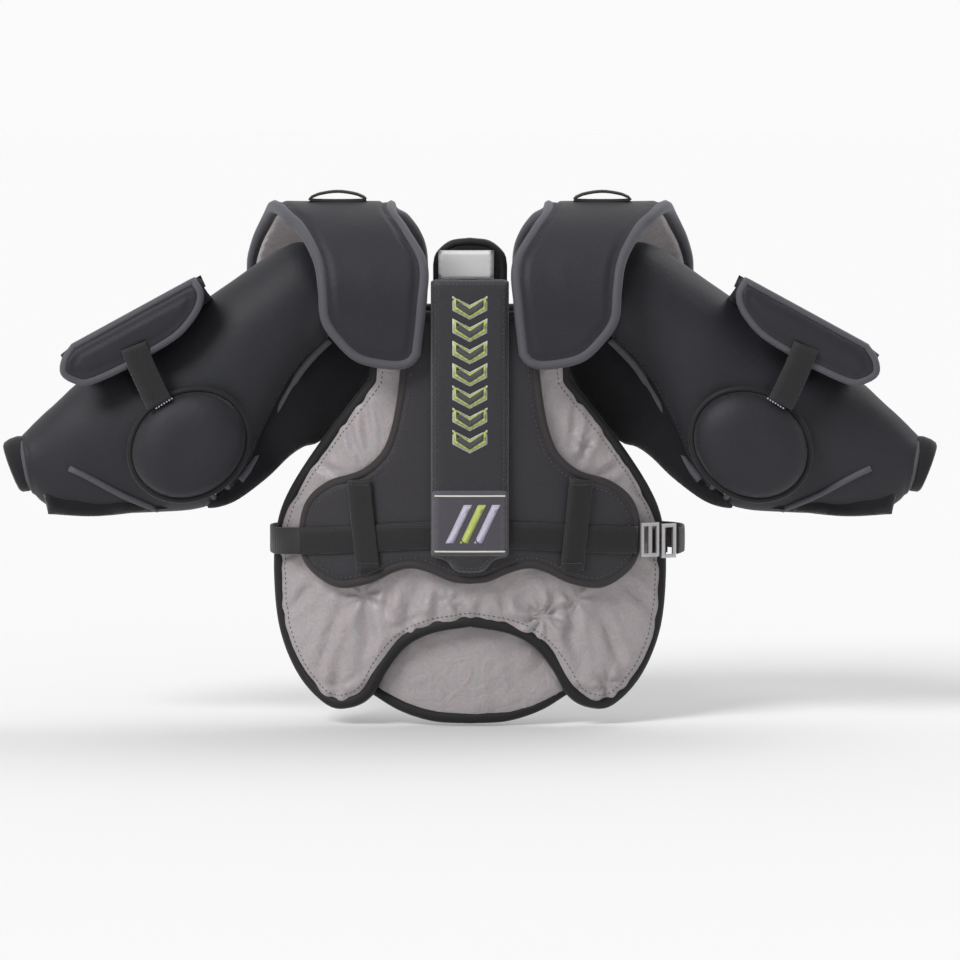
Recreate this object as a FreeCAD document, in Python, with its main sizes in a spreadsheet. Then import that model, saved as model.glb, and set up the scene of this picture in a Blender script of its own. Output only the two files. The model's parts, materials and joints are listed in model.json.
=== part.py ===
"""Hockey goalie chest-and-arm protector, worn upright, front towards -Y, +Z up, millimetres.

The origin is where the neck meets the shoulders. The wearer's left side is at +X. Every piece of
the left side is drawn once and mirrored in the YZ plane for the right side.
"""
import FreeCAD, Part
import math
import os

V = FreeCAD.Vector
TURN_TO_XZ = FreeCAD.Rotation(V(1, 0, 0), 90)
FLAT = FreeCAD.Rotation()
doc = FreeCAD.newDocument("goalie_chest_and_arms")
nodes = []

# ---------------------------------------------------------------- driving dimensions
DRIVING = {
    "torso_axis_y": 340.0,       # vertical axis of the curve that the front panels follow
    "torso_radius": 400.0,       # outer face of the belly pad
    "belly_thick": 18.0,
    "plate_thick": 12.0,
    "sternum_thick": 10.0,
    "trim_thick": 1.6,           # patches, embroidery and labels
    "webbing_thick": 2.4,
    "webbing_width": 26.0,
    "layer_gap": 0.6,            # between panels that lie on each other
    "wall": 2.2,                 # fabric cover
    "core_gap": 0.3,             # between a core and its cover
    "binding_width": 8.0,
    "binding_proud": 1.2,
    "cap_radius": 105.0,         # outer arch of the shoulder cap
    "cap_thick": 14.0,
    "cap_axis_y": 15.0,
    "cap_axis_z": -62.0,
    "cap_leg": 70.0,
    "yoke_radius": 52.0,         # arch that rests on the shoulder, under the cap
    "yoke_thick": 8.0,
    "yoke_axis_y": 25.0,
    "yoke_axis_z": -60.0,
    "yoke_leg": 52.0,
    "back_y": 80.0,              # inner face of the back panel
    "back_thick": 12.0,
    "arm_tilt": 33.5,            # upper arm below the horizontal, degrees
    "forearm_tilt": 20.5,
    "arm_high": 84.0,            # half height of the arm's section
    "arm_deep": 60.0,            # half depth of the arm's section
    "arm_axis_y": 10.0,
    "arm_taper": 3.0,            # how much slimmer the sleeve starts at the shoulder
    "arm_wall": 16.0,
    "gusset_wall": 3.0,
    "arm_back_y": 22.0,          # the sleeves are open behind this plane
    "wrist_high": 27.0,
    "wrist_deep": 25.0,
    "wrist_wall": 7.0,
    "cuff_wall": 5.0,
    "flap_thick": 9.0,
    "flap_front_y": -68.0,
    "elbow_long": 62.0,
    "elbow_high": 52.0,
    "elbow_deep": 34.0,
    "elbow_rim_y": -55.0,
    "elbow_wall": 5.0,
    "cup_wall": 3.0,             # soft cup inside the elbow cap
    "buckle_thick": 3.0,
    "loop_half_wide": 28.0,      # webbing loop on top of the cap
    "loop_half_high": 5.0,
    "loop_thick": 2.0,
}
sheet = doc.addObject("Spreadsheet::Sheet", "Sizes")
for row, (alias, value) in enumerate(DRIVING.items(), start=1):
    sheet.set(f"A{row}", alias)
    sheet.set(f"B{row}", str(value))
    sheet.setAlias(f"B{row}", alias)
doc.recompute()


def size(alias):
    """The number that the sheet holds under this alias."""
    return float(sheet.get(alias))


# ---------------------------------------------------------------- outlines, front view (X, Z)
CENTRE_UP = [(0, -376), (38, -383), (64, -397), (83, -421), (98, -447), (118, -459), (142, -458),
             (170, -430), (189, -385), (195, -330), (192, -280), (178, -241), (145, -190), (99, -130)]
BELLY_TOP = [(99, -130), (92, -70), (60, -58), (0, -56)]
CRESCENT_LOW = [(0, -475), (37, -473), (70, -463), (98, -447)]
CRESCENT_TOP = [(98, -447), (112, -400), (90, -345), (0, -330)]
PLATE_EDGE = [(66, -119), (72, -150), (78, -180), (88, -203), (109, -221), (140, -232), (161, -250),
              (169, -275), (168, -305), (155, -325), (130, -338), (100, -333), (75, -321), (58, -317),
              (40, -321), (18, -330), (0, -332)]
PLATE_TOP_Z = -112
STERNUM_HALF = 38.5
STERNUM_TOP_Z = -30
STERNUM_LOW_Z = -304
STERNUM_TONGUE = [(38.5, -304), (24, -308), (0, -320)]
BACK_NECK_HALF = 37
BACK_EDGE = [(BACK_NECK_HALF, -116), (50, -136), (86, -150), (98, -190), (96, -270), (72, -316), (40, -330)]
BACK_FIELD = [(29, -119), (44, -142), (80, -158), (90, -192), (88, -267), (67, -309), (38, -322)]

# ---------------------------------------------------------------- outlines of the left side
CAP_PLAN_NECK = [(44, 125), (44, 100), (73, 48), (73, -18), (41, -72), (41, -95)]
CAP_PLAN_SIDE = [(149, -95), (154, -70), (172, -44), (186, -24), (199, 15), (208, 60), (220, 90), (225, 125)]
CAP_FRONT_LOW = [(49, -104), (57, -114), (75, -118), (110, -111), (132, -92), (146, -70), (153, -38)]
CAP_BACK_LOW = [(46, -100), (80, -114), (140, -110), (196, -82), (226, -25)]
UPPER_TOP = [(140, -88), (150, -50), (182, -26), (220, -40)]
UPPER_INNER = [(215, -215), (196, -170), (176, -131), (140, -88)]
UPPER_ELBOW = [(330, -108), (237, -248)]
GUSSET_LOW = [(237, -248), (205, -226), (182, -207), (165, -197), (155, -187)]
GUSSET_INNER = [(155, -187), (150, -150), (140, -88)]
FOREARM_ELBOW = [(252, -258), (335, -119)]
FOREARM_TOP = [(335, -119), (390, -141), (433, -181), (447, -193)]
FOREARM_WRIST = [(447, -193), (440, -243)]
FOREARM_LOW = [(440, -243), (426, -248), (418, -265), (373, -265), (320, -265), (280, -264), (252, -258)]
FLAP_EDGE = [(393, -96), (401, -116), (396, -131), (376, -134), (343, -120), (315, -104), (286, -85),
             (265, -54), (272, -30)]
ELBOW_CENTRE = (278, -195)
WRIST_CENTRE = (444, -218)
ARM_START = (118, -58)           # the upper arm's section is swept from here
ARM_END = (320, -192)
FOREARM_START = (286, -190)
FLAP_STRAP = [(330, -100), (310, -146)]
BICEP_STRAP = (262, -66, 84)     # distance along the upper arm, then its reach across it
FOREARM_STRAP = [(362, -258), (391, -150)]
LACE = [(128, -62), (176, -62)]
CUFF_ENDS = (3, 15)              # distances past the wrist
WRIST_BAND_ENDS = (4, 14)
YOKE_X = (62, 108)
LOOP_CENTRE = (132, 2, 48.3)
EVERYTHING = 700.0               # longer than the object in any direction
MIDDLE_Y = 60.0                  # every front piece ends before this plane
REDRAW_STEP = 8.0                # spacing of the points that a moved outline is redrawn through


def new(kind, name, **values):
    """A document object; a text value is an expression on the sheet, any other is set as it is."""
    thing = doc.addObject(kind, name)
    for prop, value in values.items():
        if isinstance(value, str) and value.startswith("="):
            thing.setExpression(prop, value[1:])
        else:
            setattr(thing, prop, value)
    return thing


def at(x, y, z, rotation=FLAT):
    return FreeCAD.Placement(V(x, y, z), rotation)


def outline(name, spans, rotation=TURN_TO_XZ):
    """A closed sketch: two points make a straight span, more make a smooth one."""
    sketch = new("Sketcher::SketchObject", name)
    for span in spans:
        points = [V(x, z, 0) for x, z in span]
        if len(points) == 2:
            sketch.addGeometry(Part.LineSegment(*points))
        else:
            curve = Part.BSplineCurve()
            curve.interpolate(points)
            sketch.addGeometry(curve)
    sketch.Placement = at(0, 0, 0, rotation)
    return sketch


def mirrored_spans(half):
    """Spans of a symmetric outline from the spans of its +X half, from one centre point to the other."""
    other = [[(-x, z) for x, z in reversed(span)] for span in reversed(half)]
    return half + other


def shrunk(name, source, amount):
    """The outline moved inwards by an expression on the sheet, its edges redrawn as plain splines."""
    source.recompute()
    edges = []
    for edge in source.Shape.makeOffset2D(-float(source.evalExpression(amount))).Edges:
        curve = Part.BSplineCurve()
        curve.interpolate(edge.discretize(2 + round(edge.Length / REDRAW_STEP)))
        edges.append(curve.toShape())
    return new("Part::Feature", name, Shape=Part.Wire(edges))


def prism(source):
    """The outline run from well in front of the object to just behind its middle."""
    return new("Part::Extrusion", source.Name + "_prism", Base=source, DirMode="Custom", Dir=V(0, 1, 0),
               LengthFwd=MIDDLE_Y, LengthRev=EVERYTHING, Solid=True)


def common(name, first, second):
    return new("Part::Common", name, Base=first, Tool=second)


def less(name, first, second):
    return new("Part::Cut", name, Base=first, Tool=second)


def fused(name, first, second):
    return new("Part::Fuse", name, Base=first, Tool=second)


def keep(thing, label):
    """Marks a finished piece: its label names its file."""
    thing.Label = label
    nodes.append(thing)
    return thing


def both_sides(thing, label):
    """The finished left piece and its mirror image for the right side."""
    keep(thing, label + "_left")
    keep(new("Part::Mirroring", thing.Name + "_mirror", Source=thing, Normal=V(1, 0, 0)), label + "_right")


def pair(thing, label):
    """Two alike pieces, left and right, kept as separate solids of one group."""
    twin = new("Part::Mirroring", thing.Name + "_mirror", Source=thing, Normal=V(1, 0, 0))
    keep(new("Part::Compound", thing.Name + "_pair", Links=[thing, twin]), label)


# ---------------------------------------------------------------- front panels on one curved surface
def torso_layer(name, outer, inner):
    """The space between two upright cylinders about the torso's axis."""
    skins = []
    for side, radius in (("outer", outer), ("inner", inner)):
        skin = new("Part::Cylinder", f"{name}_{side}", Radius="=" + radius, Height=EVERYTHING,
                   Placement=at(0, size("torso_axis_y"), -EVERYTHING + 40))
        skin.setExpression("Placement.Base.y", "Sizes.torso_axis_y")
        skins.append(skin)
    return less(name + "_layer", *skins)


def panel(label, spans, outer, inner, core=True, bound=True):
    """A sewn panel: a binding all round, a cover, and a foam core sealed in the cover."""
    edge = outline(label + "_edge", spans)
    full = prism(edge)
    if bound:
        body = prism(shrunk(label + "_body", edge, "Sizes.binding_width"))
        rim = less(label + "_rim", full, body)
        proud = torso_layer(label + "_proud", outer + " + Sizes.binding_proud", inner)
        keep(common(label + "_binding_tape", rim, proud), label + "_binding")
    else:
        body = full
    skin = common(label + "_skin", body, torso_layer(label + "_full", outer, inner))
    if not core:
        return keep(skin, label)
    inset = "Sizes.wall + Sizes.binding_width" if bound else "Sizes.wall"
    hollow_edge = shrunk(label + "_hollow", edge, inset)
    hollow = common(label + "_cavity", prism(hollow_edge),
                    torso_layer(label + "_room", outer + " - Sizes.wall", inner + " + Sizes.wall"))
    core_edge = shrunk(label + "_core_edge", edge, f"{inset} + Sizes.core_gap")
    reach = "Sizes.wall - Sizes.core_gap"
    core_layer = torso_layer(label + "_stuff", f"{outer} - {reach} - 2 * Sizes.core_gap",
                             f"{inner} + {reach} + 2 * Sizes.core_gap")
    keep(common(label + "_core_body", prism(core_edge), core_layer), label + "_foam")
    return keep(less(label + "_sewn", skin, hollow), label)


BELLY_OUT = "Sizes.torso_radius"
BELLY_IN = "Sizes.torso_radius - Sizes.belly_thick"
PLATE_IN = "Sizes.torso_radius + 2 * Sizes.binding_proud + Sizes.layer_gap"
PLATE_OUT = PLATE_IN + " + Sizes.plate_thick"
STRIP_IN = PLATE_OUT + " + Sizes.binding_proud + Sizes.layer_gap"
STRIP_OUT = STRIP_IN + " + Sizes.sternum_thick"
LOWER_OUT = BELLY_IN + " - Sizes.layer_gap - Sizes.binding_proud"
LOWER_IN = LOWER_OUT + " - 0.6 * Sizes.belly_thick"

panel("belly_pad", mirrored_spans([CENTRE_UP, BELLY_TOP]), BELLY_OUT, BELLY_IN)
panel("lower_panel", mirrored_spans([CRESCENT_LOW, CRESCENT_TOP]), LOWER_OUT, LOWER_IN, core=False)
plate_half = [[(0, PLATE_TOP_Z), PLATE_EDGE[0]], PLATE_EDGE]
panel("chest_plate", mirrored_spans(plate_half), PLATE_OUT, PLATE_IN)
strip_half = [[(0, STERNUM_TOP_Z), (STERNUM_HALF, STERNUM_TOP_Z)],
              [(STERNUM_HALF, STERNUM_TOP_Z), (STERNUM_HALF, STERNUM_LOW_Z)], STERNUM_TONGUE]
panel("sternum_strip", mirrored_spans(strip_half), STRIP_OUT, STRIP_IN, bound=False)


def rectangle(x0, x1, z0, z1):
    corners = [(x0, z0), (x1, z0), (x1, z1), (x0, z1)]
    return [[corners[i], corners[(i + 1) % 4]] for i in range(4)]


def applied(label, spans, lift_from, thick):
    """A thin piece laid on the curved front, not yet kept."""
    layer = torso_layer(label, f"{lift_from} + {thick}", lift_from)
    return common(label + "_cut", prism(outline(label + "_edge", spans)), layer)


for label, spans in (("sternum_graphic", rectangle(-17, 17, -207, -52)),
                     ("front_patch", rectangle(-36, 36, -302, -238))):
    keep(applied(label, spans, STRIP_OUT, "Sizes.trim_thick"), label)

# ---------------------------------------------------------------- belt, keepers and buckle
BELT_IN = PLATE_OUT + " + Sizes.binding_proud + 0.1"
STRIP_GAP = STERNUM_HALF + 1
belt_half = [[(STRIP_GAP, -296), (166, -303)], [(166, -303), (166, -277)], [(166, -277), (STRIP_GAP, -270)],
             [(STRIP_GAP, -270), (STRIP_GAP, -296)]]
pair(applied("belt", belt_half, BELT_IN, "Sizes.webbing_thick"), "chest_belt")
keeper = [[(98, -231), (122, -231)], [(122, -231), (113, -317)], [(113, -317), (89, -317)],
          [(89, -317), (98, -231)]]
pair(applied("keeper", keeper, BELT_IN + " + Sizes.webbing_thick", "Sizes.webbing_thick"), "belt_keepers")


def side_run(name, route, low_z):
    """Webbing on edge: its route seen from above, offset by its thickness and raised by its width."""
    edge = outline(name + "_route", [route], FLAT)
    wall = new("Part::Extrusion", name + "_wall", Base=edge, DirMode="Custom", Dir=V(0, 0, 1), Solid=False)
    wall.setExpression("LengthFwd", "Sizes.webbing_width")
    wall.Placement = at(0, 0, low_z)
    tape = new("Part::Offset", name + "_tape", Source=wall, Fill=True)
    tape.setExpression("Value", "Sizes.webbing_thick")
    return tape


BELT_LOW_Z = -307
HOOK_SIDE_ROUTE = [(208, -8), (214, 10), (210, 36), (180, 60), (140, 70), (88, 74)]
SEWN_SIDE_ROUTE = [(193, -24), (201, -4), (202, 20), (182, 54), (140, 69), (88, 74)]
hook_side = side_run("hook_side_run", HOOK_SIDE_ROUTE, BELT_LOW_Z)
sewn_side = new("Part::Mirroring", "sewn_side_run_mirror", Normal=V(1, 0, 0),
                Source=side_run("sewn_side_run", SEWN_SIDE_ROUTE, BELT_LOW_Z))
keep(new("Part::Compound", "side_runs", Links=[hook_side, sewn_side]), "side_straps")


BUCKLE_HIGH = 34
SLOT_HALF_HIGH = 13.5
BUCKLE_TURN = FreeCAD.Rotation(V(0, 0, 1), 27)


def frame_body(name, wide, slots, place):
    """A flat buckle part: a plate with a slot, from one X to another, for each run of webbing."""
    body = new("PartDesign::Body", name)
    plane = next(f for f in body.Origin.OriginFeatures if f.Role == "XZ_Plane")
    face = body.newObject("Sketcher::SketchObject", name + "_face")
    face.AttachmentSupport = [(plane, "")]
    face.MapMode = "FlatFace"
    for x0, x1, half_high in [(-wide / 2, wide / 2, BUCKLE_HIGH / 2)] + slots:
        ring = [V(x0, -half_high, 0), V(x1, -half_high, 0), V(x1, half_high, 0), V(x0, half_high, 0)]
        for i in range(4):
            face.addGeometry(Part.LineSegment(ring[i], ring[(i + 1) % 4]))
    pad = body.newObject("PartDesign::Pad", name + "_pad")
    pad.Profile = face
    pad.setExpression("Length", "Sizes.buckle_thick")
    body.Tip = pad
    body.Placement = at(*place, BUCKLE_TURN)
    return body


slide_slots = [(-7, -2, SLOT_HALF_HIGH), (2, 7, SLOT_HALF_HIGH)]
keep(frame_body("belt_slide_body", 20, slide_slots, (178, -38, -291)), "belt_slide")
keep(frame_body("buckle_loop_body", 16, [(-4.5, 4.5, SLOT_HALF_HIGH)], (197, -28.5, -293)), "buckle_loop")
keep(new("Part::Box", "hook_box", Length=19.0, Width="=Sizes.webbing_thick", Height="=Sizes.webbing_width",
         Placement=at(180, -33.2, -306, BUCKLE_TURN)), "belt_hook_end")

# ---------------------------------------------------------------- back panel, neck label, yokes
def slab(name, edge, front, thick):
    """The outline as a plate, from the Y of its front face."""
    return new("Part::Extrusion", name, Base=edge, DirMode="Custom", Dir=V(0, 1, 0), Solid=True,
               LengthFwd="=" + f"{front} + {thick}", LengthRev="=" + f"-({front})")


def back_outline(name, top, edge):
    """The panel behind the wearer: a neck strip with straight sides that widens below the shoulders."""
    side = edge[0][0]
    foot = edge[-1][1]
    half = [[(0, top), (side, top)], [(side, top), edge[0]], edge, [edge[-1], (0, foot)]]
    return outline(name, mirrored_spans(half))


back_full = slab("back_full", back_outline("back_edge", 0, BACK_EDGE), "Sizes.back_y", "Sizes.back_thick")
back_field = back_outline("back_field", -size("binding_width"), BACK_FIELD)
back_in = slab("back_in", back_field, "Sizes.back_y", "Sizes.back_thick")
keep(less("back_rim", back_full, back_in), "back_panel_binding")
keep(back_in, "back_panel")
label_edge = outline("label_edge", rectangle(-26, 26, -36, -10))
keep(slab("label_slab", label_edge, "Sizes.back_y - Sizes.trim_thick", "Sizes.trim_thick"), "neck_label")


def arch_block(name, radius, leg, width, x0, axis_y, axis_z):
    """An arch seen from the side, run along X: a round whose lower half lies in a straight-sided foot."""
    top = new("Part::Cylinder", name + "_top", Radius="=" + radius, Height=width,
              Placement=at(x0, 0, 0, FreeCAD.Rotation(V(0, 1, 0), 90)))
    legs = new("Part::Box", name + "_legs", Length=width, Width=f"=2 * ({radius})", Height="=" + leg,
               Placement=at(x0, 0, 0))
    top.setExpression("Placement.Base.y", axis_y)
    top.setExpression("Placement.Base.z", axis_z)
    legs.setExpression("Placement.Base.y", f"{axis_y} - ({radius})")
    legs.setExpression("Placement.Base.z", f"{axis_z} - ({leg})")
    return fused(name, top, legs)


def arch_shell(name, outer, inner, leg, width, x0, axis_y, axis_z):
    """An arch of even thickness, open underneath."""
    outside = arch_block(name + "_outside", outer, leg, width, x0, axis_y, axis_z)
    inside = arch_block(name + "_inside", inner, leg + " + 1", width + 2, x0 - 1, axis_y, axis_z)
    return less(name, outside, inside)


pair(arch_shell("yoke_arch", "Sizes.yoke_radius", "Sizes.yoke_radius - Sizes.yoke_thick", "Sizes.yoke_leg",
                YOKE_X[1] - YOKE_X[0], YOKE_X[0], "Sizes.yoke_axis_y", "Sizes.yoke_axis_z"), "shoulder_yokes")

# ---------------------------------------------------------------- shoulder caps
CAP_X0 = 30.0
CAP_WIDTH = 210.0
HIGH_Z = 70.0
cap_plan = outline("cap_plan", [CAP_PLAN_SIDE, [CAP_PLAN_SIDE[-1], CAP_PLAN_NECK[0]]]
                   + [CAP_PLAN_NECK[i:i + 2] for i in range(len(CAP_PLAN_NECK) - 1)]
                   + [[CAP_PLAN_NECK[-1], CAP_PLAN_SIDE[0]]], FLAT)
cap_front = outline("cap_front", [CAP_FRONT_LOW, [CAP_FRONT_LOW[-1], (240, -34)], [(240, -34), (240, HIGH_Z)],
                                  [(240, HIGH_Z), (30, HIGH_Z)], [(30, HIGH_Z), (41, -6)],
                                  [(41, -6), CAP_FRONT_LOW[0]]])
cap_back = outline("cap_back", [CAP_BACK_LOW, [CAP_BACK_LOW[-1], (240, HIGH_Z)],
                                [(240, HIGH_Z), (30, HIGH_Z)], [(30, HIGH_Z), CAP_BACK_LOW[0]]])


def cap_piece(name, inset, outer, inner):
    """The cap's arch trimmed to its outlines, all of them moved inwards by the same inset."""
    arch = arch_shell(name + "_arch", outer, inner, "Sizes.cap_leg", CAP_WIDTH, CAP_X0,
                      "Sizes.cap_axis_y", "Sizes.cap_axis_z")
    edges = [cap_plan, cap_front, cap_back]
    if inset:
        edges = [shrunk(f"{name}_{edge.Name}", edge, inset) for edge in edges]
    plan = new("Part::Extrusion", name + "_plan", Base=edges[0], DirMode="Custom", Dir=V(0, 0, 1),
               LengthFwd=EVERYTHING, LengthRev=EVERYTHING, Solid=True)
    front = new("Part::Extrusion", name + "_front", Base=edges[1], DirMode="Custom", Dir=V(0, -1, 0),
                Solid=True, LengthFwd=EVERYTHING, LengthRev="=Sizes.cap_axis_y")
    back = new("Part::Extrusion", name + "_back", Base=edges[2], DirMode="Custom", Dir=V(0, 1, 0),
               Solid=True, LengthFwd=EVERYTHING, LengthRev="=-Sizes.cap_axis_y")
    return common(name, common(name + "_trim", arch, plan), fused(name + "_sides", front, back))


CAP_IN = "Sizes.cap_radius - Sizes.cap_thick"
cap_full = cap_piece("cap_full", None, "Sizes.cap_radius", CAP_IN)
cap_middle = cap_piece("cap_middle", "Sizes.binding_width", "Sizes.cap_radius + 1", CAP_IN + " - 1")
both_sides(less("cap_rim", cap_full, cap_middle), "shoulder_cap_piping")
cap_solid = cap_piece("cap_solid", "Sizes.binding_width", "Sizes.cap_radius", CAP_IN)
cap_room = cap_piece("cap_room", "Sizes.binding_width + Sizes.wall", "Sizes.cap_radius - Sizes.wall",
                     CAP_IN + " + Sizes.wall")
both_sides(less("cap_cover", cap_solid, cap_room), "shoulder_cap")
both_sides(cap_piece("cap_core", "Sizes.binding_width + Sizes.wall + Sizes.core_gap",
                     "Sizes.cap_radius - Sizes.wall - Sizes.core_gap",
                     CAP_IN + " + Sizes.wall + Sizes.core_gap"), "shoulder_cap_insert")


def upright_ellipse_block(name, half_wide, half_high):
    """An oval seen from the front, as deep as the webbing is wide."""
    oval = new("Part::Ellipse", name + "_oval", MajorRadius=f"=Sizes.loop_half_wide - ({half_wide})",
               MinorRadius=f"=Sizes.loop_half_high - ({half_high})",
               Placement=at(*LOOP_CENTRE, TURN_TO_XZ))
    return new("Part::Extrusion", name, Base=oval, DirMode="Custom", Dir=V(0, 1, 0), Solid=True,
               LengthFwd="=Sizes.webbing_width")


loop_ring = less("loop_ring", upright_ellipse_block("loop_outside", "0", "0"),
                 upright_ellipse_block("loop_inside", "Sizes.loop_thick", "Sizes.loop_thick"))
both_sides(loop_ring, "cap_webbing_loop")

# ---------------------------------------------------------------- arms
def section(name, centre, tilt, high, deep):
    """An upright ellipse across a limb that falls outwards at the tilt."""
    rotation = FreeCAD.Rotation(V(0, 1, 0), 90 + tilt)
    ellipse = new("Part::Ellipse", name, MajorRadius="=" + high, MinorRadius="=" + deep,
                  Placement=at(centre[0], 0, centre[1], rotation))
    ellipse.setExpression("Placement.Base.y", "Sizes.arm_axis_y")
    return ellipse


def limb_loft(name, stations, inset):
    """A solid through its stations (centre, tilt, half height, half depth), all of them made smaller."""
    rings = [section(f"{name}_{i}", centre, tilt, f"{high} - ({inset})", f"{deep} - ({inset})")
             for i, (centre, tilt, high, deep) in enumerate(stations)]
    return new("Part::Loft", name, Sections=rings, Solid=True, Ruled=True)


def tube(name, stations, inset, thick):
    return less(name, limb_loft(name + "_outer", stations, inset),
                limb_loft(name + "_inner", stations, f"{inset} + {thick}"))


TILT = size("arm_tilt")
UPPER_STATIONS = [(ARM_START, TILT, "Sizes.arm_high - Sizes.arm_taper", "Sizes.arm_deep - Sizes.arm_taper"),
                  (ARM_END, TILT, "Sizes.arm_high", "Sizes.arm_deep")]
FOREARM_STATIONS = [(FOREARM_START, size("forearm_tilt"), "Sizes.arm_high", "Sizes.arm_deep"),
                    (WRIST_CENTRE, size("forearm_tilt"), "Sizes.wrist_high", "Sizes.wrist_deep")]


def limb_shell(name, block, stations, back_y, shrink, thick):
    """The part of a tube that lies inside a block and in front of a plane."""
    front = new("Part::Box", name + "_front", Length=2 * EVERYTHING, Width=EVERYTHING, Height=2 * EVERYTHING,
                Placement=at(-EVERYTHING, back_y - EVERYTHING, -EVERYTHING))
    slab = common(name + "_slab", block, front)
    outside = limb_loft(name + "_outer", stations, shrink)
    inside = limb_loft(name + "_inner", stations, f"{shrink} + {thick}")
    return less(name, common(name + "_solid", slab, outside), inside)


def limb_pad(label, spans, stations, wall, bound):
    """A padded half sleeve: piping round its edge, a cover and a foam core sealed in it."""
    edge = outline(label + "_edge", spans)
    back_y = size("arm_back_y")
    inset = "0"
    middle = edge
    if bound:
        inset = "0.75 * Sizes.binding_width"
        middle = shrunk(label + "_middle", edge, inset)
        rim = less(label + "_rim", prism(edge), prism(middle))
        both_sides(limb_shell(label + "_piping_shell", rim, stations, back_y, "0", wall), label + "_piping")
    solid = limb_shell(label + "_body", prism(middle), stations, back_y, "0", wall)
    room_edge = shrunk(label + "_room_edge", edge, f"{inset} + Sizes.wall")
    room = limb_shell(label + "_room", prism(room_edge), stations, back_y - size("wall"), "Sizes.wall",
                      wall + " - 2 * Sizes.wall")
    both_sides(less(label + "_sewn", solid, room), label)
    core_inset = "Sizes.wall + Sizes.core_gap"
    core_edge = shrunk(label + "_core_edge", edge, f"{inset} + {core_inset}")
    core_back_y = back_y - size("wall") - size("core_gap")
    core = limb_shell(label + "_core", prism(core_edge), stations, core_back_y, core_inset,
                      f"{wall} - 2 * ({core_inset})")
    both_sides(core, label + "_foam")


upper_spans = [UPPER_TOP, [UPPER_TOP[-1], UPPER_ELBOW[0]], UPPER_ELBOW, [UPPER_ELBOW[-1], UPPER_INNER[0]],
               UPPER_INNER]
limb_pad("upper_arm_pad", upper_spans, UPPER_STATIONS, "Sizes.arm_wall", True)
limb_pad("forearm_pad", [FOREARM_ELBOW, FOREARM_TOP, FOREARM_WRIST, FOREARM_LOW], FOREARM_STATIONS,
         "Sizes.wrist_wall", False)
gusset_edge = outline("gusset_edge", [GUSSET_LOW, GUSSET_INNER, UPPER_INNER[::-1],
                                      [UPPER_INNER[0], GUSSET_LOW[0]]])
both_sides(limb_shell("gusset", prism(gusset_edge), UPPER_STATIONS, size("arm_back_y"), "Sizes.gusset_wall",
                      "Sizes.gusset_wall"), "arm_gusset")

flap_edge = outline("flap_edge", [FLAP_EDGE, [FLAP_EDGE[-1], FLAP_EDGE[0]]])


both_sides(slab("flap_body", flap_edge, "Sizes.flap_front_y", "Sizes.flap_thick"), "bicep_flap")


def strip_spans(ends, width):
    """A straight strip of this width from one end point to the other."""
    (x0, z0), (x1, z1) = ends
    length = math.hypot(x1 - x0, z1 - z0)
    side_x = -(z1 - z0) / length * width / 2
    side_z = (x1 - x0) / length * width / 2
    corners = [(x0 + side_x, z0 + side_z), (x1 + side_x, z1 + side_z), (x1 - side_x, z1 - side_z),
               (x0 - side_x, z0 - side_z)]
    return [[corners[i], corners[(i + 1) % 4]] for i in range(4)]


strap_edge = outline("flap_strap_edge", strip_spans(FLAP_STRAP, size("webbing_width")))
both_sides(slab("flap_strap_slab", strap_edge, "Sizes.flap_front_y - Sizes.webbing_thick",
                "Sizes.webbing_thick"), "flap_strap")


def along_arm(distance, across):
    """A front-view point of the left arm from its distance along and across the upper arm's line."""
    tilt = math.radians(TILT)
    return (distance * math.cos(tilt) + across * math.sin(tilt),
            -distance * math.sin(tilt) + across * math.cos(tilt))


bicep_ends = [along_arm(BICEP_STRAP[0], reach) for reach in BICEP_STRAP[1:]]
for label, ends, front in (("bicep_strap", bicep_ends, "Sizes.arm_back_y"),
                           ("forearm_strap", FOREARM_STRAP, "Sizes.arm_back_y"),
                           ("shoulder_lace", LACE, "Sizes.arm_back_y + Sizes.layer_gap")):
    band = outline(label + "_edge", strip_spans(ends, size("webbing_width")))
    both_sides(slab(label + "_slab", band, front, "Sizes.webbing_thick"), label)


def dome(name, inset):
    """The front half of an ellipsoid that lies along the arm."""
    egg = new("Part::Ellipsoid", name, Radius1=f"=Sizes.elbow_deep - ({inset})",
              Radius2=f"=Sizes.elbow_high - ({inset})", Radius3=f"=Sizes.elbow_long - ({inset})",
              Angle1=-90.0, Angle2=90.0)
    lay = FreeCAD.Matrix()
    tilt = math.radians(TILT)
    lay.A11, lay.A21, lay.A31 = math.sin(tilt), 0, math.cos(tilt)
    lay.A12, lay.A22, lay.A32 = -math.cos(tilt), 0, math.sin(tilt)
    lay.A13, lay.A23, lay.A33 = 0, -1, 0
    lay.A14, lay.A24, lay.A34 = ELBOW_CENTRE[0], size("elbow_rim_y"), ELBOW_CENTRE[1]
    egg.Placement = FreeCAD.Placement(lay)
    return egg


def front_of_rim(name, egg):
    keep_box = new("Part::Box", name + "_box", Length=EVERYTHING, Width=EVERYTHING, Height=EVERYTHING,
                   Placement=at(0, size("elbow_rim_y") - EVERYTHING, -EVERYTHING))
    return common(name, egg, keep_box)


elbow_shell = less("elbow_shell", dome("elbow_outside", "0"), dome("elbow_inside", "Sizes.elbow_wall"))
both_sides(front_of_rim("elbow_front", elbow_shell), "elbow_cap")
cup_shell = less("cup_shell", dome("cup_outside", "Sizes.elbow_wall + Sizes.core_gap"),
                 dome("cup_inside", "Sizes.elbow_wall + Sizes.cup_wall"))
both_sides(front_of_rim("cup_front", cup_shell), "elbow_cup")

WRIST_TILT = size("forearm_tilt")


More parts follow.
